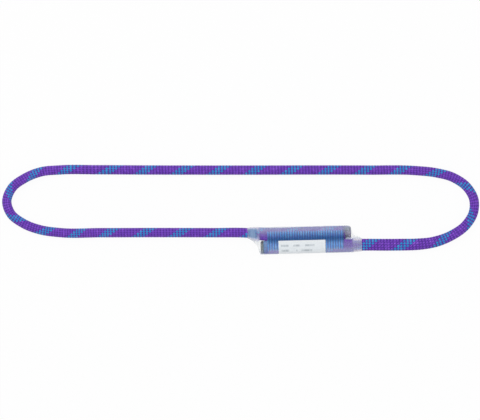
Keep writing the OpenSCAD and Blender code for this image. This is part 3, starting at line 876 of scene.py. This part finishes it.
# Its course, from the left mouth to the right: place along, middles of its upper and lower arc across the
# splice, half the width of an arc, height of the inside
SLEEVE_ROWS = np.array([
    (LEFT_END_U, LEFT_MOUTH_V, LEFT_MOUTH_V, LEFT_HALF, LEFT_TOP),
    (
        between(LEFT_END_U, -CUT_U, 0.4), between(LEFT_MOUTH_V, LEG_V, 0.3), LEFT_MOUTH_V * 0.75,
        between(LEFT_HALF, BOTH_HALF, 0.5), between(LEFT_TOP, BOTH_TOP, 0.3),
    ),
    (
        between(LEFT_END_U, -CUT_U, 0.7), between(LEFT_MOUTH_V, LEG_V, 0.6), LEG_V * 0.26,
        between(LEFT_HALF, BOTH_HALF, 0.85), between(LEFT_TOP, BOTH_TOP, 0.6),
    ),
    (-CUT_U - 0.0005, between(LEFT_MOUTH_V, LEG_V, 0.8), -LEG_V, BOTH_HALF, BOTH_TOP),
    (-SETTLED_U, LEG_V, -LEG_V, BOTH_HALF, BOTH_TOP),
    (SETTLED_U, LEG_V, -LEG_V, BOTH_HALF, BOTH_TOP),
    (CUT_U - 0.003, LEG_V, -LEG_V, BOTH_HALF, BOTH_TOP),
    (CUT_U - 0.0012, LEG_V * 0.92, -LEG_V, BOTH_HALF, BOTH_TOP),
    (CUT_U, LEG_V * 0.66, -LEG_V, BOTH_HALF, BOTH_TOP),
    (CUT_U + 0.0008, LEG_V * 0.05, -LEG_V, BOTH_HALF, BOTH_TOP),
    (
        CUT_U + 0.0022, -LEG_V * 0.35, between(-LEG_V, RIGHT_MOUTH_V, 0.25),
        between(BOTH_HALF, RIGHT_HALF, 0.25), BOTH_TOP,
    ),
    (
        CUT_U + 0.0042, -LEG_V * 0.57, between(-LEG_V, RIGHT_MOUTH_V, 0.5),
        between(BOTH_HALF, RIGHT_HALF, 0.5), between(BOTH_TOP, RIGHT_TOP, 0.2),
    ),
    (
        CUT_U + 0.0075, -LEG_V * 0.73, between(-LEG_V, RIGHT_MOUTH_V, 0.8),
        between(BOTH_HALF, RIGHT_HALF, 0.85), between(BOTH_TOP, RIGHT_TOP, 0.6),
    ),
    (RIGHT_END_U, RIGHT_MOUTH_V, RIGHT_MOUTH_V, RIGHT_HALF, RIGHT_TOP),
])  # fmt: skip
# The puckers: how far past the cut ends they start, how soon after that they are full, their pitch and depth,
# how much and how often they waver, and how much milkier the film is on them
PUCKER_FROM, PUCKER_RUN = 0.002, 0.003
PUCKER_PITCH = 0.0021
PUCKER_DEEP = 0.00007
PUCKER_WAVER, PUCKER_WAVES = 1.4, 900
PUCKER_MILK = 0.04
# How much light the film scatters: against the seam's dark middle, over a crest of the seam, at its sides,
# over the single rope's crest and sides, and where nothing lies under it
MILK_PRESSED, MILK_CREST, MILK_SIDE = 0.01, 0.08, 0.27
MILK_ROPE, MILK_MOUTH, MILK_WEB = 0.13, 0.74, 0.03
# The same over the label, and how soft the step at the label's ends is
MILK_LABEL, LABEL_SOFT = 0.08, 0.001
# How the milk grows from a crest to a side past each cut end: the smaller, the nearer to the crest
LEFT_SPREAD, RIGHT_SPREAD = 1.3, 2
# Beside the single rope: the share of the mouths' milk that the film starts with, and how soon it fades
WEB_SHARE, WEB_FADE = 0.36, 0.0018
# How far along the splice the milk takes to change, past the cut ends and at the ridge's start
MILK_RUN = 0.003
# The milky ridge in the valley beside the upper cut end: how milky, its place across, half its width and
# where it starts
RIDGE = (0.5, 0.0005, 0.0007, 0.035)
# Where the film blurs the tracer below it, at the left mouth and between the lower cut end and the seam: how
# milky it is there, its middle along the splice, half its length and how soft its ends are
MOUTH_BLUR = (0.46, LEFT_END_U + 0.0046, 0.0054, 0.0042)
END_BLUR = (0.32, LOWER_SHEATH_U + 0.0018, 0.003, 0.002)
# The share of an arc's half width over which a blur ends towards its side
BLUR_SOFT = 0.25


def pucker(u):
    """Small folds round the sleeve, where it narrows past the cut ends, from -1 to 1"""
    share = np.clip((abs(u) - CUT_U - PUCKER_FROM) / PUCKER_RUN, 0, 1)
    return share * np.cos(2 * np.pi * u / PUCKER_PITCH + PUCKER_WAVER * np.sin(PUCKER_WAVES * u))


def blur(zone, u, off, half):
    """How milky the film is where it blurs the tracer, off the middle of an arc, and 0 elsewhere"""
    strength, middle, long, soft = zone
    inside = ease(np.clip((long - abs(u - middle)) / soft, 0, 1))
    return strength * inside * ease(np.clip((1 - off / half) / BLUR_SOFT, 0, 1))


def milk(u, v, upper, lower, half):
    """How milky the film is at v, where its two arcs have their middles at upper and lower"""
    outside = ease(np.clip((abs(v) - LEG_V) / half, 0, 1))
    on_label = (v < 0) * (1 - ease(np.clip((abs(u - LABEL_SHIFT) - LABEL_L / 2) / LABEL_SOFT, 0, 1)))
    side = between(MILK_CREST, between(MILK_SIDE, MILK_LABEL, on_label), outside)
    seam = np.where(abs(v) > LEG_V, side, between(MILK_CREST, MILK_PRESSED, gloom(v)))
    single_v, spread = (upper, LEFT_SPREAD) if u < 0 else (lower, RIGHT_SPREAD)
    off = abs(v - single_v)
    rope = between(MILK_ROPE, MILK_MOUTH, np.clip(off / half, 0, 1) ** spread)
    web = MILK_WEB + (MILK_MOUTH * WEB_SHARE - MILK_WEB) * np.exp(-np.maximum(0, off - half) / WEB_FADE)
    single = np.where(off > half, web, rope)
    past = ease(np.clip((abs(u) - CUT_U) / MILK_RUN, 0, 1))
    strength, place, wide, start = RIDGE
    ridge = strength * np.exp(-(((v - place) / wide) ** 2)) * ease(np.clip((u - start) / MILK_RUN, 0, 1))
    return np.maximum(between(seam, single, past), ridge * (1 - past)) + PUCKER_MILK * pucker(u)


def sleeve_ring(u):
    """Evenly spaced points round the sleeve's outer side, how milky it is there, and how far it blurs"""
    upper, lower, half, top = (np.interp(u, SLEEVE_ROWS[:, 0], column) for column in SLEEVE_ROWS.T[1:])
    turn = np.linspace(-np.pi / 2, np.pi * 1.5, 2 * ARC_STEPS + 1)
    c, s = np.cos(turn), np.sin(turn)
    fold = PUCKER_DEEP * pucker(u)
    v = np.where(c > 0, upper, lower) + (half + SLEEVE_WALL + fold) * c
    z = (SLEEVE_WALL + top) / 2 + ((SLEEVE_WALL + top) / 2 + np.where(s > 0, fold, 0)) * s
    v = np.insert(v, ARC_STEPS + 1, np.linspace(upper, lower, SPAN_STEPS))
    z = np.insert(z, ARC_STEPS + 1, np.full(SPAN_STEPS, z[ARC_STEPS]))
    v, z = np.append(v, v[0]), np.append(z, z[0])
    far = np.concatenate([[0], np.cumsum(np.hypot(np.diff(v), np.diff(z)))])
    at = np.linspace(0, far[-1], SLEEVE_SIDES, endpoint=False)
    v, z = np.interp(at, far, v), np.interp(at, far, z)
    blurred = np.maximum(blur(MOUTH_BLUR, u, abs(v - upper), half), blur(END_BLUR, u, abs(v - lower), half))
    blurred = blurred * (z > top / 2)
    return splice_point(u, v, z), np.maximum(milk(u, v, upper, lower, half), blurred), blurred


sleeve_rows = round((RIGHT_END_U - LEFT_END_U) / SLEEVE_STEP)
bpy.ops.object.select_all(action="DESELECT")
bpy.ops.mesh.primitive_circle_add(vertices=SLEEVE_SIDES, radius=1, fill_type="NOTHING")
sleeve = bpy.context.object
sleeve.name = "shrunk_sleeve"
bpy.ops.object.mode_set(mode="EDIT")
for _ in range(sleeve_rows):
    bpy.ops.mesh.extrude_region_move(TRANSFORM_OT_translate={"value": (0, 0, 1)})
bpy.ops.mesh.select_all(action="SELECT")
bpy.ops.mesh.normals_make_consistent(inside=False)
bpy.ops.object.mode_set(mode="OBJECT")
rings = [sleeve_ring(u) for u in np.linspace(LEFT_END_U, RIGHT_END_U, sleeve_rows + 1)]
milks, blurs = [], []
for vertex in sleeve.data.vertices:
    side = round(math.atan2(vertex.co.y, vertex.co.x) / (2 * math.pi) * SLEEVE_SIDES) % SLEEVE_SIDES
    points, ring_milk, ring_blur = rings[round(vertex.co.z)]
    vertex.co = points[side]
    milks.append(ring_milk[side])
    blurs.append(ring_blur[side])
sleeve.data.attributes.new("milk", "FLOAT", "POINT").data.foreach_set("value", milks)
sleeve.data.attributes.new("blur", "FLOAT", "POINT").data.foreach_set("value", blurs)
wall = sleeve.modifiers.new("wall", "SOLIDIFY")
wall.thickness, wall.offset = SLEEVE_WALL, -1
bpy.ops.object.modifier_apply(modifier="wall")
bpy.ops.object.shade_smooth()
milky = Finish("shrink_sleeve", specular_ior_level=0.3)
place = milky.node("ShaderNodeTexCoord", {}, {}, 3)
haze = milky.node("ShaderNodeTexNoise", {}, {"Vector": place, "Scale": 90.0, "Detail": 3.0})
milkiness = milky.node("ShaderNodeAttribute", {"attribute_name": "milk"}, {}, 2)
thin = milky.mix(milky.steps(milkiness, 0.1, 0.4), (0.78, 0.87, 0.93, 1), (0.55, 0.6, 0.87, 1))
blurred = milky.node("ShaderNodeAttribute", {"attribute_name": "blur"}, {}, 2)
film_colour = milky.mix(milky.steps(milkiness, 0.3, 0.6), thin, (0.88, 0.84, 0.92, 1))
tracer_colour = milky.mix(milky.steps(milkiness, 0.42, 0.64), (0.32, 0.49, 0.73, 1), (0.66, 0.73, 0.9, 1))
milky.set("Base Color", milky.mix(milky.steps(blurred, 0, 0.2), film_colour, tracer_colour))
milky.set("Roughness", 0.25 + 0.2 * haze)
milky.set("Alpha", milkiness * (0.7 + 0.6 * haze))
milky.set("Normal", milky.bump(haze, 0.0002, 0.5))
sleeve.data.materials.append(milky.material)
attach(sleeve, "root")
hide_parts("sleeve")
